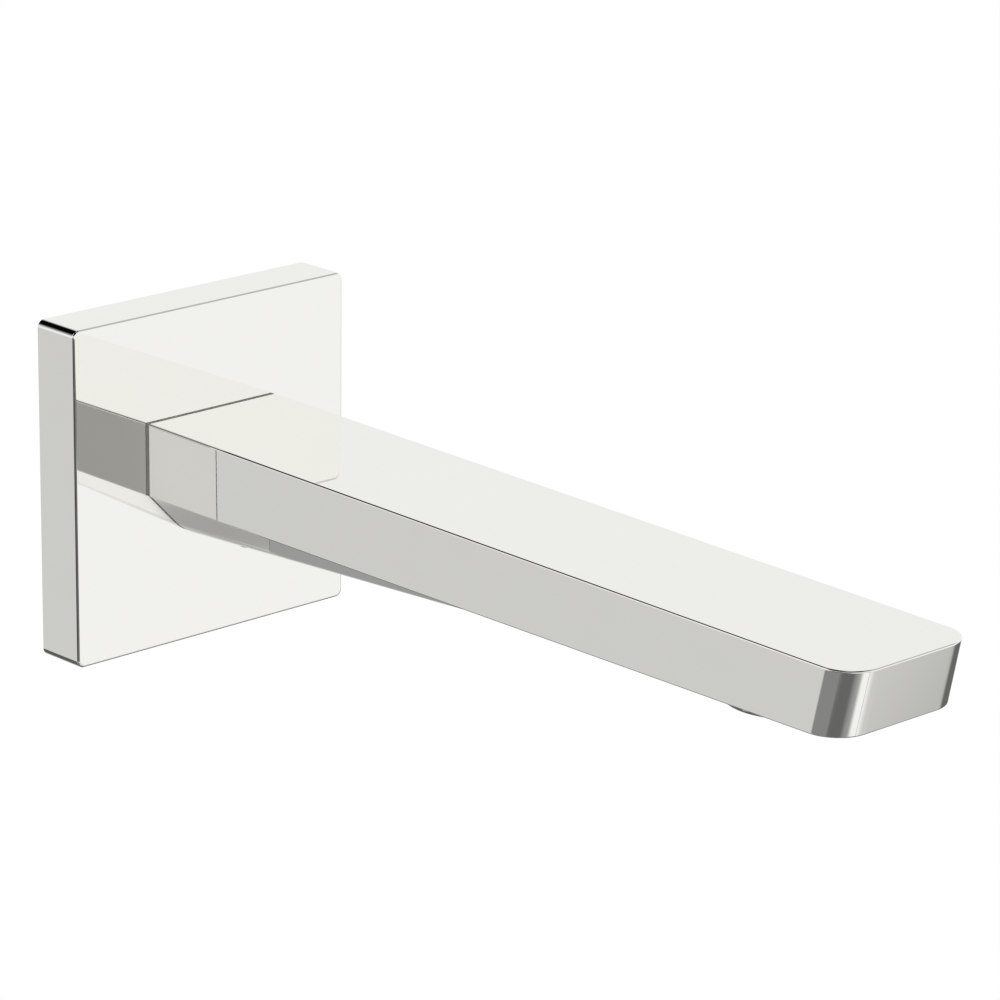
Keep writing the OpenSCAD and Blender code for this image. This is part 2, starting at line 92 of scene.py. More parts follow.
placeCamera(cameraSetup)
scene.view_settings.view_transform = "Standard"
print("camera placed")


# A shader value: Python's operators on it add Math nodes to its tree
class Value:
    def __init__(self, tree, socket):
        self.tree = tree
        self.socket = socket

    def math(self, operation, *others):
        return self.tree.add("ShaderNodeMath", {"operation": operation}, dict(enumerate((self, *others))))

    def __add__(self, other):
        return self.math("ADD", other)

    __radd__ = __add__

    def __mul__(self, other):
        return self.math("MULTIPLY", other)

    __rmul__ = __mul__

    def __sub__(self, other):
        return self.math("SUBTRACT", other)

    def __rsub__(self, other):
        return self.tree.add("ShaderNodeMath", {"operation": "SUBTRACT"}, {0: other, 1: self})

    # 0 below the first value, 1 above the second, smooth between them
    def rise(self, low, high):
        return self.tree.add("ShaderNodeMapRange", {"interpolation_type": "SMOOTHSTEP"},
                             {"Value": self, "From Min": low, "From Max": high})

    # 1 inside the span and 0 outside it, with soft ends
    def within(self, low, high, soft):
        return self.rise(low - soft, low + soft) * (1 - self.rise(high - soft, high + soft))


# A node tree being filled: add() makes one node and returns one of its outputs, or all of them
class Tree:
    def __init__(self, nodeTree):
        self.tree = nodeTree
        nodeTree.nodes.clear()

    def add(self, kind, settings=None, inputs=None, output=0):
        node = self.tree.nodes.new(kind)
        for name, setting in (settings or {}).items():
            setattr(node, name, setting)
        for name, value in (inputs or {}).items():
            if isinstance(value, Value):
                self.tree.links.new(value.socket, node.inputs[name])
            else:
                node.inputs[name].default_value = value
        if output == "all":
            return [Value(self, socket) for socket in node.outputs]
        return Value(self, node.outputs[output]) if node.outputs else node

    def mixColour(self, factor, first, second):
        return self.add("ShaderNodeMix", {"data_type": "RGBA"}, {0: factor, 6: first, 7: second}, output=2)

    def vectorMath(self, operation, first, second):
        return self.add("ShaderNodeVectorMath", {"operation": operation}, {0: first, 1: second})

    def length(self, vector):
        return self.add("ShaderNodeVectorMath", {"operation": "LENGTH"}, {0: vector}, output="Value")

    def split(self, vector):
        return self.add("ShaderNodeSeparateXYZ", None, {0: vector}, output="all")

    def place(self):
        return self.add("ShaderNodeTexCoord", output="Object")

    # Noise on the object's own coordinates; stretch is its fineness along X, Y and Z, per metre
    def noise(self, stretch, detail=2.0, roughness=0.5):
        scaled = self.vectorMath("MULTIPLY", self.place(), stretch)
        return self.add("ShaderNodeTexNoise", None,
                        {"Vector": scaled, "Scale": 1.0, "Detail": detail, "Roughness": roughness})

    # Distance to the middle of the nearest cell, in cells of a size in metres
    def cells(self, size):
        scaled = self.vectorMath("MULTIPLY", self.place(), (1 / size,) * 3)
        return self.add("ShaderNodeTexVoronoi", None, {"Vector": scaled, "Scale": 1.0})

    def bump(self, height, strength, depth):
        return self.add("ShaderNodeBump", None, {"Height": height, "Strength": strength, "Distance": depth})


# The linear light that a picture value from 0 to 255 stands for
def tone(level):
    return ((level / 255 + 0.055) / 1.055) ** 2.4


# Studio: soft panels round the object, seen in its chrome. Azimuth 0 is on the object's left,
# 90 in front of its tip, 180 on its right and -90 behind it. Elevation 0 is level.
studioSetup = {
    "surround": 248,
    # azimuth from and to, elevation from and to, softness of the sides and of the ends, picture value
    "panels": {
        "floorUnder": (-190, 190, -91, -43.5, 4, 1.5, 115),
        "ceilingRing": (-190, 190, 50, 79, 6, 6, 40),
        "skyBehind": (-186, -118, 8, 26, 3, 3, 243),
        "lampRight": (115, 150, 8, 23, 3, 3, 250),
        "lampLeft": (-60, -30, -38, -5, 5, 5, 208.5),
        "windowLeft": (-116, -51, 12, 79, 11, 11, 6),
        "windowFront": (-29, 91, 24, 79, 12, 12, 24),
        "ceilingRight": (98, 200, 24, 58, 3, 3, 186),
        "ceilingBehind": (-190, -146, 36, 58, 5, 5, 192),
        "wallBehindLow": (-102, -54, -58, -22.5, 1.5, 1.5, 90),
        "floorLeftBehind": (-58, -28, -70, -42, 3, 3, 85),
        "floorBehind": (-128, -100, -75, -22, 9, 9, 156),
        "wallBehindRight": (-150, -129, -36, -5, 2, 3, 90),
        "floorLeft": (-32.5, 38, -90, -15.5, 3, 3, 135),
        "floorFrontLeft": (15.5, 73, -90, -31, 3, 3, 103),
        "floorFront": (62.5, 86, -90, -33, 9, 9, 148.5),
        "floorFrontRight": (122, 190, -43, -21, 14, 1.2, 205.5),
        "tableRight": (148.3, 168, -43, -26, 1.3, 1.2, 185),
        "floorRight": (161.5, 222, -90, -12.5, 8, 8, 104),
        "floorRightBehind": (-225, -150, -90, -19, 3.6, 3.6, 104),
        "doorwayLeft": (-12, 52, -21.8, 7.5, 10, 3, 66),
        "lampFrontLeft": (49, 51.1, -21, -12, 0.1, 0.1, 217.5),
        "wallFrontLeft": (51.1, 54, -21, -12, 0.1, 0.1, 161),
        "shelfFront": (53.6, 91, -21.2, -14.8, 1, 1, 77),
        "shelfFrontRight": (86, 112, -31, -14, 2.5, 2.5, 163),
        "stepFirst": (111.6, 116, -38.1, -35.8, 0.5, 0.15, 176),
        "stepSecond": (116, 119, -37.2, -33.8, 0.4, 0.4, 178),
        "stepThird": (119, 121.8, -36.4, -31.5, 0.4, 0.4, 178),
        "stepFourth": (121.8, 126, -35.4, -29, 0.4, 0.4, 178),
        "floorStrip": (110.4, 111.9, -39.5, -37.65, 0.1, 0.05, 168),
    },
    "floorDrop": 1.6,        # metres from the spout down to the floor
    "floorSize": 30.0,
    "floorColour": (0.86, 0.86, 0.855, 1),
}


# Light of the studio in the direction of a vector
def studioLight(tree, direction, setup):
    x, y, z = tree.split(direction)
    azimuth = (0 - y).math("ARCTAN2", 0 - x) * (180 / math.pi)
    elevation = z.math("ARCSINE") * (180 / math.pi)
    level = tone(setup["surround"])
    for left, right, low, high, softSides, softEnds, shade in setup["panels"].values():
        inside = azimuth.within(left, right, softSides) * elevation.within(low, high, softEnds)
        level = level + inside * (tone(shade) - level)
    return level


# Rays that see the white background: straight from the camera or through something clear
def clearView(tree):
    camera = tree.add("ShaderNodeLightPath", output="Is Camera Ray")
    through = tree.add("ShaderNodeLightPath", output="Is Transmission Ray")
    return camera.math("MAXIMUM", through)


def lightStudio(setup):
    world = bpy.data.worlds.new("studio")
    world.use_nodes = True
    tree = Tree(world.node_tree)
    direction = tree.add("ShaderNodeTexCoord", output="Generated")
    level = studioLight(tree, direction, setup)
    strength = level + clearView(tree) * (1 - level)
    surface = tree.add("ShaderNodeBackground", None, {"Color": (1, 1, 1, 1), "Strength": strength})
    tree.add("ShaderNodeOutputWorld", None, {"Surface": surface})
    scene.world = world


# The floor is white to the camera and matt to the pieces; chrome sees the low panels through it
def layFloor(setup):
    half = setup["floorSize"] / 2
    mesh = bpy.data.meshes.new("studioFloor")
    corners = [(x * half, y * half, -setup["floorDrop"]) for x, y in ((-1, -1), (1, -1), (1, 1), (-1, 1))]
    mesh.from_pydata(corners, [], [(0, 1, 2, 3)])
    floor = bpy.data.objects.new("studioFloor", mesh)
    scene.collection.objects.link(floor)
    floor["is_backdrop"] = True
    material = bpy.data.materials.new("paleFloor")
    material.use_nodes = True
    tree = Tree(material.node_tree)
    white = tree.add("ShaderNodeEmission", None, {"Strength": 1.0})
    matt = tree.add("ShaderNodeBsdfDiffuse", None, {"Color": setup["floorColour"]})
    openFloor = tree.add("ShaderNodeBsdfTransparent")
    glossy = tree.add("ShaderNodeLightPath", output="Is Glossy Ray")
    surface = tree.add("ShaderNodeMixShader", None, {0: clearView(tree), 1: matt, 2: white})
    surface = tree.add("ShaderNodeMixShader", None, {0: glossy, 1: surface, 2: openFloor})
    tree.add("ShaderNodeOutputMaterial", None, {"Surface": surface})
    mesh.materials.append(material)


lightStudio(studioSetup)
layFloor(studioSetup)
print("studio lit with", len(studioSetup["panels"]), "panels")


# Finishes: each function gives the inputs of a Principled shader
chromeFinish = {
    "colour": (0.940, 0.936, 0.903, 1),
    "film": (0.91, 0.907, 0.88, 1),      # thin film of dried water
    "filmStrength": 0.25,
    "filmPatches": 60,                   # fineness, per metre
    "filmSpread": (0.45, 0.8),           # noise from no film to full film
    "roughness": (0.025, 0.04),
}


def chrome(tree):
    film = tree.noise((chromeFinish["filmPatches"],) * 3, detail=4).rise(*chromeFinish["filmSpread"])
    low, high = chromeFinish["roughness"]
    return {"Base Color": tree.mixColour(film * chromeFinish["filmStrength"],
                                         chromeFinish["colour"], chromeFinish["film"]),
            "Metallic": 1.0, "Roughness": low + film * (high - low)}


castFinish = {
    "colour": (0.74, 0.60, 0.35, 1),
    "dark": (0.50, 0.38, 0.20, 1),       # dull hollows of the casting
    "patches": 140,                      # fineness, per metre
    "patchSpread": (0.35, 0.7),
    "grain": 0.35 * mm,
    "grainDepth": 0.04 * mm,
    "roughness": (0.34, 0.5),
}


# Brass as it was cast, where a mask is 1, with chrome outside it
def chromeOverCasting(insideMask):
    def paint(tree):
        inside = insideMask(tree)
        outer = chrome(tree)
        grain = tree.noise((1 / castFinish["grain"],) * 3, detail=3)
        patches = tree.noise((castFinish["patches"],) * 3, detail=3).rise(*castFinish["patchSpread"])
        brass = tree.mixColour(patches, castFinish["colour"], castFinish["dark"])
        low, high = castFinish["roughness"]
        rough = outer["Roughness"] + inside * (low + grain * (high - low) - outer["Roughness"])
        return {"Base Color": tree.mixColour(inside, outer["Base Color"], brass),
                "Metallic": 1.0, "Roughness": rough,
                "Normal": tree.bump(grain * inside, 0.5, castFinish["grainDepth"])}
    return paint


# 1 within a radius of an axis, "y" or "z", through a point
def nearAxis(tree, point, axis, radius, soft=0.02 * mm):
    across = tuple(0 if letter == axis else 1 for letter in "xyz")
    offset = tree.vectorMath("MULTIPLY", tree.vectorMath("SUBTRACT", tree.place(), point), across)
    return 1 - tree.length(offset).rise(radius - soft, radius + soft)


plateHollow = {"wall": 2.2 * mm, "front": 2.4 * mm, "hubBore": 9.3 * mm, "skin": 0.02 * mm}


# Inside of the plate: the hollow behind its front wall and the bore of its hub
def plateInside(tree):
    low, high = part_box("escutcheon")
    wall, front, skin = plateHollow["wall"], plateHollow["front"], plateHollow["skin"]
    x, y, z = tree.split(tree.place())
    hollow = (x.within(low[0] + wall - skin, high[0] - wall + skin, skin / 2)
              * z.within(low[2] + wall - skin, high[2] - wall + skin, skin / 2)
              * y.rise(low[1] + front - skin, low[1] + front - skin / 2))
    bore = nearAxis(tree, (0, 0, 0), "y", plateHollow["hubBore"]) * y.rise(low[1] + skin, low[1] + 2 * skin)
    return hollow.math("MAXIMUM", bore)


spoutHollow = {
    "socketRadius": 9.75 * mm,
    "socketEnd": -40 * mm,
    "channelHalf": 10.1 * mm,
    "channelEnd": -186 * mm,
    "floorWall": 2 * mm,
    "topWall": 3.4 * mm,
    "seatRadius": 12.1 * mm,
    "rimHeight": 2.3 * mm,       # of the aerator's rim, below the underside of the spout
    "skin": 0.02 * mm,
}


# Inside of the spout: the socket, the water channel and the seat of the aerator
def spoutInside(tree):
    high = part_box("spout_body")[1]
    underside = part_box("aerator_housing")[0][2] + spoutHollow["rimHeight"]
    top = high[2] - spoutHollow["topWall"]
    sealLow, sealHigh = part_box("aerator_seal")
    skin = spoutHollow["skin"]
    x, y, z = tree.split(tree.place())
    socket = (nearAxis(tree, (0, 0, 0), "y", spoutHollow["socketRadius"])
              * y.within(spoutHollow["socketEnd"], high[1] - 2 * skin, skin))
    channel = (x.within(-spoutHollow["channelHalf"], spoutHollow["channelHalf"], skin)
               * z.within(underside + spoutHollow["floorWall"], top, skin)
               * y.within(spoutHollow["channelEnd"], spoutHollow["socketEnd"] + 2 * mm, skin))
    seat = (nearAxis(tree, (0, (sealLow[1] + sealHigh[1]) / 2, 0), "z", spoutHollow["seatRadius"])
            * z.within(underside + 2 * skin, top, skin))
    return socket.math("MAXIMUM", channel).math("MAXIMUM", seat)


turnedBrass = {
    "colour": (0.80, 0.66, 0.36, 1),
    "tarnish": (0.62, 0.45, 0.20, 1),
    "rings": (90, 16000, 90),            # fineness of the tool marks, per metre
    "ringDepth": 0.02 * mm,
    "stains": 120,
    "stainSpread": (0.5, 0.75),
    "stainStrength": 0.55,
    "roughness": (0.18, 0.34),
}


def brass(tree):
    marks = tree.noise(turnedBrass["rings"], detail=3)
    stain = tree.noise((turnedBrass["stains"],) * 3, detail=4).rise(*turnedBrass["stainSpread"])
    stain = stain * turnedBrass["stainStrength"]
    low, high = turnedBrass["roughness"]
    return {"Base Color": tree.mixColour(stain, turnedBrass["colour"], turnedBrass["tarnish"]),
            "Metallic": 1.0, "Roughness": low + marks * (high - low),
            "Normal": tree.bump(marks, 0.35, turnedBrass["ringDepth"])}


steelFinish = {
    "colour": (0.66, 0.67, 0.69, 1),
    "dark": (0.48, 0.49, 0.51, 1),
    "drawn": (2500, 2500, 600),          # fineness of the drawing marks, per metre
    "drawnSpread": (0.4, 0.7),
    "drawnDepth": 0.01 * mm,
    "roughness": (0.22, 0.4),
}


def steel(tree):
    drawn = tree.noise(steelFinish["drawn"], detail=3)
    shade = drawn.rise(*steelFinish["drawnSpread"])
    low, high = steelFinish["roughness"]
    return {"Base Color": tree.mixColour(shade, steelFinish["colour"], steelFinish["dark"]),
            "Metallic": 1.0, "Roughness": low + drawn * (high - low),
            "Normal": tree.bump(drawn, 0.2, steelFinish["drawnDepth"])}


mouldFinish = {"patches": 250, "patchSpread": (0.35, 0.7), "grainDepth": 0.02 * mm}


# Plastics and rubbers: two shades in soft patches, with a fine grain
def moulded(shade, second, roughness, grainSize):
    def paint(tree):
        patches = tree.noise((mouldFinish["patches"],) * 3, detail=3).rise(*mouldFinish["patchSpread"])
        grain = tree.noise((1 / grainSize,) * 3, detail=2)
        low, high = roughness
        return {"Base Color": tree.mixColour(patches, (*shade, 1), (*second, 1)),
                "Roughness": low + grain * (high - low),
                "Normal": tree.bump(grain, 0.4, mouldFinish["grainDepth"])}
    return paint


foamFinish = {
    "cell": 0.55 * mm,
    "cellDepth": 0.12 * mm,
    "jointSpread": (0.35, 0.75),         # from a cell to the joint beside it
    "colour": (0.175, 0.18, 0.186, 1),
    "joint": (0.09, 0.092, 0.096, 1),
}


# Closed-cell foam: small round cells with dark joints between them
def foam(tree):
    cell = tree.cells(foamFinish["cell"])
    joint = cell.rise(*foamFinish["jointSpread"])
    return {"Base Color": tree.mixColour(joint, foamFinish["colour"], foamFinish["joint"]),
            "Roughness": 0.82 + joint * 0.12, "Normal": tree.bump(1 - cell, 0.8, foamFinish["cellDepth"])}


fibreFinish = {
    "light": (0.46, 0.14, 0.10, 1),
    "dark": (0.30, 0.075, 0.055, 1),
    "dust": (0.52, 0.22, 0.15, 1),
    "dustPatches": 300,                  # fineness, per metre
    "dustStrength": 0.3,
    "strands": (900, 5000, 900),
    "strandSpread": (0.35, 0.7),
    "strandDepth": 0.04 * mm,
}


# Vulcanised fibre: short reddish fibres pressed flat
def pressedFibre(tree):
    strands = tree.noise(fibreFinish["strands"], detail=5, roughness=0.65)
    dust = tree.noise((fibreFinish["dustPatches"],) * 3) * fibreFinish["dustStrength"]
    shade = strands.rise(*fibreFinish["strandSpread"])
    colour = tree.mixColour(shade, fibreFinish["light"], fibreFinish["dark"])
    return {"Base Color": tree.mixColour(dust, colour, fibreFinish["dust"]),
            "Roughness": 0.62 + strands * 0.2, "Normal": tree.bump(strands, 0.5, fibreFinish["strandDepth"])}


finishes = {
    "polishedChrome": chrome,
    "chromedPlate": chromeOverCasting(plateInside),
    "chromedSpout": chromeOverCasting(spoutInside),
    "turnedBrass": brass,
    "brightSteel": steel,
    "sealRubber": moulded((0.05, 0.05, 0.055), (0.07, 0.07, 0.074), (0.42, 0.6), 0.12 * mm),
    "greySilicone": moulded((0.60, 0.60, 0.585), (0.66, 0.66, 0.645), (0.4, 0.55), 0.15 * mm),
    "closedCellFoam": foam,
    "vulcanisedFibre": pressedFibre,
    "whiteAcetal": moulded((0.86, 0.87, 0.88), (0.80, 0.81, 0.82), (0.3, 0.45), 0.2 * mm),
    "greyAcetal": moulded((0.42, 0.44, 0.47), (0.37, 0.39, 0.42), (0.3, 0.45), 0.2 * mm),
}


def mixFinish(name, paint):
    material = bpy.data.materials.new(name)
    material.use_nodes = True
    tree = Tree(material.node_tree)
    surface = tree.add("ShaderNodeBsdfPrincipled", None, paint(tree))
    tree.add("ShaderNodeOutputMaterial", None, {"Surface": surface})
    return material


materials = {name: mixFinish(name, paint) for name, paint in finishes.items()}
print("finishes mixed:", len(materials))


# Weld the facets of a piece, then shade it smooth with crisp edges
def smoothShading(piece, angle=25):
    piece.data.polygons.foreach_set("use_smooth", [True] * len(piece.data.polygons))
    weld = piece.modifiers.new("joinFacets", "WELD")
    weld.merge_threshold = 0.001 * mm
    edges = piece.modifiers.new("crispEdges", "EDGE_SPLIT")
    edges.split_angle = math.radians(angle)
    edges.use_edge_sharp = False
    normals = piece.modifiers.new("flatFaces", "WEIGHTED_NORMAL")
    normals.mode = "FACE_AREA"
    normals.weight = 100


def finishPiece(piece, finish):
    piece.data.materials.clear()
    piece.data.materials.append(materials[finish])


cadFinishes = {
    "escutcheon": "chromedPlate",
    "escutcheon_rim_seal": "closedCellFoam",
    "escutcheon_o_ring": "sealRubber",
    "nipple_fibre_washer": "vulcanisedFibre",
    "nipple_o_ring_rear": "sealRubber",
    "nipple_o_ring_front": "sealRubber",
    "spout_body": "chromedSpout",
    "screw_cap": "polishedChrome",
    "aerator_seal": "sealRubber",
    "aerator_strainer": "greyAcetal",
    "aerator_jet_plate": "whiteAcetal",
    "aerator_body": "whiteAcetal",
    "aerator_screen_spacer": "whiteAcetal",
    "aerator_outlet_grid": "greyAcetal",
}
for node, finish in cadFinishes.items():
    smoothShading(cadNodes[node])
    finishPiece(cadNodes[node], finish)
print("CAD pieces finished:", len(cadFinishes))


# The pieces below are in millimetres until they are turned into meshes
def meshPiece(name, points, faces):
    mesh = bpy.data.meshes.new(name)
    mesh.from_pydata([point * mm for point in points], [], faces)
    work = bmesh.new()
    work.from_mesh(mesh)
    bmesh.ops.remove_doubles(work, verts=work.verts, dist=0.0005 * mm)
    bmesh.ops.recalc_face_normals(work, faces=work.faces)
    work.to_mesh(mesh)
    work.free()
    piece = bpy.data.objects.new(name, mesh)
    scene.collection.objects.link(piece)
    return piece


# Hand a new piece to the frame in the place of its CAD node
def standIn(piece, node, finish):
    finishPiece(piece, finish)
    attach(piece, "root")
    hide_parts(node)


# A turned piece: rings of points round the Y or the Z axis through a centre
class Turning:
    def __init__(self, centre, axis, steps):
        self.centre = Vector(centre)
        self.along = Vector((0, 1, 0)) if axis == "y" else Vector((0, 0, 1))
        self.across = Vector((0, 0, 1)) if axis == "y" else Vector((1, 0, 0))
        self.second = self.along.cross(self.across)
        self.steps = steps
        self.points = []
        self.faces = []

    # Rows of spots, each a height and a radius, joined by quads into a sheet
    def addSheet(self, rows):
        first, wide = len(self.points), self.steps + 1
        for row in rows:
            for step, (height, radius) in enumerate(row):
                angle = 2 * math.pi * step / self.steps
                ray = self.across * math.cos(angle) + self.second * math.sin(angle)
                self.points.append(self.centre + self.along * height + ray * radius)
        for row in range(len(rows) - 1):
            for step in range(self.steps):
                spot = first + row * wide + step
                self.faces.append((spot, spot + 1, spot + wide + 1, spot + wide))

    # Rings from rows of a height and a radius; a radius may be a function of the angle
    def addRings(self, rows):
        angles = [2 * math.pi * step / self.steps for step in range(self.steps + 1)]
        self.addSheet([[(height, radius(angle) if callable(radius) else radius) for angle in angles]
                       for height, radius in rows])

    # A right-hand thread whose rows follow the helix, cut back to a cone at each end
    def addThread(self, thread):
        low, high, pitch = thread["from"], thread["to"], thread["pitch"]
        root, depth = thread["minor"] / 2, (thread["major"] - thread["minor"]) / 2
        rows = []
        for turn in range(-1, math.ceil((high - low) / pitch) + 1):
            for share, rise in thread["profile"]:
                row = []
                for step in range(self.steps + 1):
                    height = low + pitch * (turn + share + step / self.steps)
                    height = min(max(height, low), high)
                    cone = threadEnd(thread) + min(height - low, high - height)
                    row.append((height, min(root + depth * rise, cone)))
                rows.append(row)
        self.addSheet(rows)

    def finish(self, name):
        return meshPiece(name, self.points, self.faces)


# Radius of a thread at its two ends
def threadEnd(thread):
    return thread["minor"] / 2 - thread["lead"]


# Share of the pitch and share of the depth along one turn of a thread, from the middle of its root
whitworthForm = ((0, 0), (0.065, 0.026), (0.122, 0.115), (0.25, 0.5), (0.378, 0.885), (0.435, 0.974), (0.5, 1),
                 (0.565, 0.974), (0.622, 0.885), (0.75, 0.5), (0.878, 0.115), (0.935, 0.026))
metricForm = ((0, 0), (0.125, 0), (0.229, 0.333), (0.333, 0.667), (0.4375, 1), (0.5625, 1), (0.667, 0.667),
              (0.771, 0.333), (0.875, 0))


# Radius of a hexagon at an angle, between a least and a largest; the middle of a flat is at the angle "turned"
def hexagon(acrossFlats, turned=0.0, least=0.0, most=math.inf):
    def radius(angle):
        offset = (angle - turned + math.pi / 6) % (math.pi / 3) - math.pi / 6
        return min(max(acrossFlats / 2 / math.cos(offset), least), most)
    return radius


# Rows of a groove round a shank
def grooveRows(groove, shankRadius):
    middle, floorHalf, topHalf, floorRadius = groove
    return [(middle + topHalf, shankRadius), (middle + floorHalf, floorRadius),
            (middle - floorHalf, floorRadius), (middle - topHalf, shankRadius)]


nippleSetup = {
    "thread": {"major": 20.955, "minor": 18.631, "pitch": 1.814, "from": 0, "to": 14,
               "lead": 0.35, "profile": whitworthForm},
    "reliefRadius": 9.18,
    "hexagon": {"flats": 27, "back": -1.6, "front": -5.2, "corner": 14.69, "bevel": 0.35},
    "shankRadius": 8.9,
    "shankEnd": -38.4,
    "lead": 0.6,
    # middle, half of the floor, half of the opening, radius of the floor
    "grooves": {"screw": (-23.5, 1.8, 2.8, 7.9), "rearRing": (-29.4, 1.3, 1.32, 7.4),
                "frontRing": (-34.0, 1.3, 1.32, 7.4)},
    "bore": 5.2,
    "boreLead": 0.5,
    "key": {"flats": 10, "depth": 12, "lead": 0.35},
    "steps": 120,
}


def turnNipple(setup):
    thread, nut, key = setup["thread"], setup["hexagon"], setup["key"]
    shank, end, bore = setup["shankRadius"], setup["shankEnd"], setup["bore"]
    nutFace = hexagon(nut["flats"], most=nut["corner"] - nut["bevel"])
    nutSide = hexagon(nut["flats"], most=nut["corner"])
    socket = hexagon(key["flats"], least=bore)
    socketMouth = hexagon(key["flats"], least=bore + key["lead"])
    rows = [(thread["from"], threadEnd(thread)), (thread["from"], setup["reliefRadius"]),
            (nut["back"], setup["reliefRadius"]), (nut["back"], nutFace),
            (nut["back"] - nut["bevel"], nutSide), (nut["front"] + nut["bevel"], nutSide),
            (nut["front"], nutFace), (nut["front"], shank)]
    for groove in setup["grooves"].values():
        rows += grooveRows(groove, shank)
    rows += [(end + setup["lead"], shank), (end, shank - setup["lead"]), (end, socketMouth),
             (end + key["lead"], socket), (end + key["depth"], socket), (end + key["depth"], bore),
             (thread["to"] - setup["boreLead"], bore), (thread["to"], bore + setup["boreLead"]),
             (thread["to"], threadEnd(thread))]
    turning = Turning((0, 0, 0), "y", setup["steps"])
    turning.addRings(rows)
    turning.addThread(thread)
    piece = turning.finish("threaded_nipple")
    smoothShading(piece, angle=35)
    standIn(piece, "connection_nipple", "turnedBrass")


turnNipple(nippleSetup)
print("nipple turned")


# Middle of a node's box, in millimetres
def middle(node):
    low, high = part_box(node)
    return [(a + b) / 2 / mm for a, b in zip(low, high)]


# Heights are over the underside of the spout
housingSetup = {
    "thread": {"major": 23.9, "minor": 22.7, "pitch": 1, "from": 0.25, "to": 5.6,
               "lead": 0.3, "profile": metricForm},
    "rimRadius": 13,
    "rimHeight": 2.3,
    "rimRound": (0.5, 1.6),      # in from the side and up from the foot
    "rimRoundSteps": 10,
    "rimBevel": 0.15,
    "flats": 24,
    "lipRadius": 8.15,
    "lipHeight": 1.2,
    "lipFlare": 0.8,
    "insertRadius": 10.55,
    "mouthLead": 0.2,
    "steps": 144,
}


def turnHousing(setup):
    thread = setup["thread"]
    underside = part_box("aerator_housing")[0][2] / mm + setup["rimHeight"]
    foot, bevel = -setup["rimHeight"], setup["rimBevel"]
    inward, upward = setup["rimRound"]
    lipTop = foot + setup["lipHeight"]

    # Outline of the rim at a depth under its full radius, cut by two flats across the spout
    def outline(depth):
        def radius(angle):
            side = abs(math.sin(angle))
            flat = (setup["flats"] / 2 - depth) / max(side, 0.1)
            return min(setup["rimRadius"] - depth, flat)
        return radius

    rows = [(thread["to"], threadEnd(thread)), (thread["to"], setup["insertRadius"] + setup["mouthLead"]),
            (thread["to"] - setup["mouthLead"], setup["insertRadius"]), (lipTop, setup["insertRadius"]),
            (lipTop, setup["lipRadius"]), (foot + setup["lipFlare"], setup["lipRadius"]),
            (foot, setup["lipRadius"] + setup["lipFlare"])]
    for k in range(setup["rimRoundSteps"] + 1):
        angle = math.pi / 2 * k / setup["rimRoundSteps"]
        rows.append((foot + upward * (1 - math.cos(angle)), outline(inward * (1 - math.sin(angle)))))
    rows += [(-bevel, outline(0)), (0, outline(bevel)), (0, threadEnd(thread)),
             (thread["from"], threadEnd(thread))]
    turning = Turning((*middle("aerator_seal")[:2], underside), "z", setup["steps"])
    turning.addRings(rows)
    turning.addThread(thread)
    piece = turning.finish("threaded_housing")
    smoothShading(piece, angle=28)
    standIn(piece, "aerator_housing", "polishedChrome")


turnHousing(housingSetup)
print("aerator housing turned")


# Heights are over the bottom of the screw
grubSetup = {
    "thread": {"major": 5.9, "minor": 4.8, "pitch": 1, "from": 0, "to": 2.4,
               "lead": 0.1, "profile": metricForm},
    "pointRadius": 1.75,
    "pointBevel": 0.12,
    "key": {"flats": 3, "depth": 1.9, "lead": 0.15, "drill": 0.6},
    "steps": 72,
}


def turnGrubScrew(setup):
    thread, key, bevel = setup["thread"], setup["key"], setup["pointBevel"]
    low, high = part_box("grub_screw")
    length = (high[2] - low[2]) / mm
    keySide = hexagon(key["flats"], turned=math.pi / 6)
    keyMouth = hexagon(key["flats"] + 2 * key["lead"], turned=math.pi / 6)
    rows = [(thread["to"], threadEnd(thread)), (length - bevel, setup["pointRadius"] + bevel / 2),
            (length, setup["pointRadius"] - bevel), (length, 0)]
    turning = Turning((*middle("grub_screw")[:2], low[2] / mm), "z", setup["steps"])
    turning.addRings(rows)
    turning.addThread(thread)
    turning.addRings([(thread["from"], threadEnd(thread)), (thread["from"], keyMouth),
                      (key["lead"], keySide), (key["depth"], keySide),
                      (key["depth"], key["flats"] / 2 - key["lead"]), (key["depth"] + key["drill"], 0)])
    piece = turning.finish("threaded_grub_screw")
    smoothShading(piece, angle=28)
    standIn(piece, "grub_screw", "brightSteel")


turnGrubScrew(grubSetup)
print("grub screw turned")


gasketSetup = {
    "inset": 0.05,           # from the outline of the spout
    "bulge": 0.1,            # of its pressed edge
    "bulgeSteps": 6,
    "holeRadius": 9.8,
    "holeMargin": 0.5,       # no spot this close to the hole belongs to the outline
}


# Outline of the spout's rear end round the Y axis, as (x, z) spots in millimetres
def rearOutline(setup):
    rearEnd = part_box("spout_body")[1][1] - 0.01 * mm
    hole = (setup["holeRadius"] + setup["holeMargin"]) * mm
    corners = (corner.co for corner in cadNodes["spout_body"].data.vertices)
    spots = {(round(spot.x / mm, 3), round(spot.z / mm, 3)) for spot in corners
             if spot.y > rearEnd and math.hypot(spot.x, spot.z) > hole}
    return sorted(spots, key=lambda spot: math.atan2(spot[1], spot[0]))


# The same outline drawn in by a distance
def drawnIn(outline, distance):
    moved = []
    for k, (x, z) in enumerate(outline):
        before, after = Vector(outline[k - 1]), Vector(outline[(k + 1) % len(outline)])
        sides = [(Vector((x, z)) - before).normalized(), (after - Vector((x, z))).normalized()]
        normals = [Vector((side.y, -side.x)) for side in sides]
        lean = (normals[0] + normals[1]).normalized()
        moved.append(Vector((x, z)) - lean * distance / lean.dot(normals[0]))
    return moved


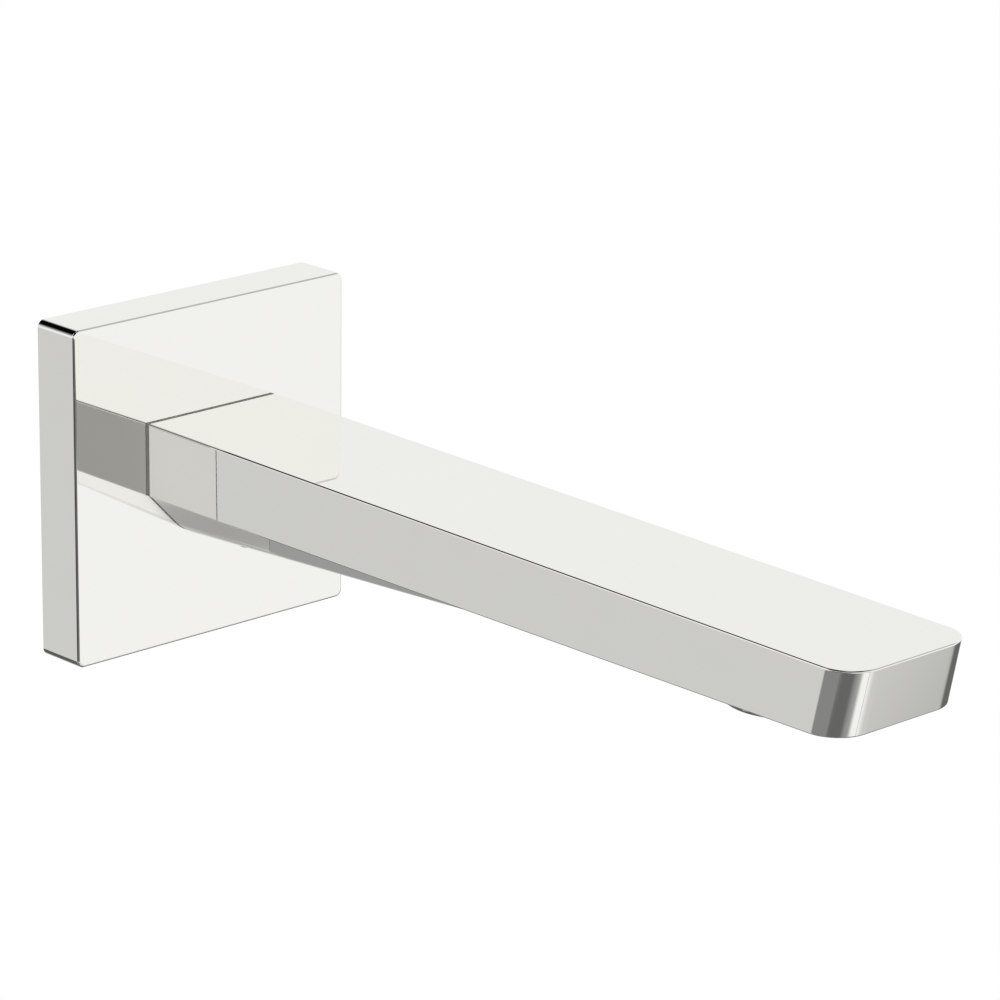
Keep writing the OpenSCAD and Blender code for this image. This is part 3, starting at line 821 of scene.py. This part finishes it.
# Seal between the spout and the plate: its edge is pressed out almost as far as the spout's outline
def pressGasket(setup):
    low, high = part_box("spout_rear_seal")
    outline = rearOutline(setup)
    depth = (high[1] - low[1]) / mm
    loops = []
    for k in range(setup["bulgeSteps"] + 1):
        share = k / setup["bulgeSteps"]
        inset = setup["inset"] + setup["bulge"] * (2 * share - 1) ** 2
        loops.append([Vector((x, low[1] / mm + depth * share, z)) for x, z in drawnIn(outline, inset)])
    for height in (high[1] / mm, low[1] / mm):
        hole = [Vector(spot).normalized() * setup["holeRadius"] for spot in outline]
        loops.append([Vector((spot.x, height, spot.y)) for spot in hole])
    wide = len(outline)
    points = [point for loop in loops for point in loop]
    faces = []
    for row in range(len(loops)):
        for k in range(wide):
            near, far, after = row * wide, (row + 1) % len(loops) * wide, (k + 1) % wide
            faces.append((near + k, near + after, far + after, far + k))
    piece = meshPiece("pressed_rear_seal", points, faces)
    smoothShading(piece, angle=40)
    standIn(piece, "spout_rear_seal", "greySilicone")


pressGasket(gasketSetup)
print("rear seal pressed")


screenSetup = {
    "wire": 0.14,
    "pitch": 0.6,
    "sides": 6,
    "ringsPerPitch": 3,
    "margin": 0.05,          # how far the cut ends stay inside the disc
}


# One wire of a screen: a thin tube that goes over and under the wires it crosses
def weaveWire(points, faces, place, half, line, setup, alongX):
    pitch, radius, sides = setup["pitch"], setup["wire"] / 2, setup["sides"]
    rings = round(2 * half / pitch * setup["ringsPerPitch"])
    start = len(points)
    for ring in range(rings + 1):
        run = -half + 2 * half * ring / rings
        lift = radius * math.cos(math.pi * run / pitch) * (-1) ** (line + alongX)
        for side in range(sides):
            angle = 2 * math.pi * side / sides
            offset = line * pitch + radius * math.cos(angle)
            x, y = (run, offset) if alongX else (offset, run)
            points.append(place + Vector((x, y, lift + radius * math.sin(angle))))
    for ring in range(rings):
        for side in range(sides):
            near, after = start + ring * sides, (side + 1) % sides
            faces.append((near + side, near + after, near + sides + after, near + sides + side))
    faces.append(tuple(start + side for side in range(sides)))
    faces.append(tuple(start + rings * sides + side for side in range(sides)))


def weaveScreen(name, node, setup):
    low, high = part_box(node)
    place = Vector(middle(node))
    reach = (high[0] - low[0]) / 2 / mm - setup["margin"]
    lines = int((reach - setup["wire"]) / setup["pitch"])
    points, faces = [], []
    for line in range(-lines, lines + 1):
        half = math.sqrt(reach ** 2 - (line * setup["pitch"]) ** 2)
        for alongX in (0, 1):
            weaveWire(points, faces, place, half, line, setup, alongX)
    piece = meshPiece(name, points, faces)
    piece.data.polygons.foreach_set("use_smooth", [True] * len(piece.data.polygons))
    standIn(piece, node, "brightSteel")


weaveScreen("woven_screen_upper", "aerator_screen_upper", screenSetup)
weaveScreen("woven_screen_lower", "aerator_screen_lower", screenSetup)
print("screens woven")

box = [list(map(float, corner)) for corner in (*cadBox, *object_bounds())]
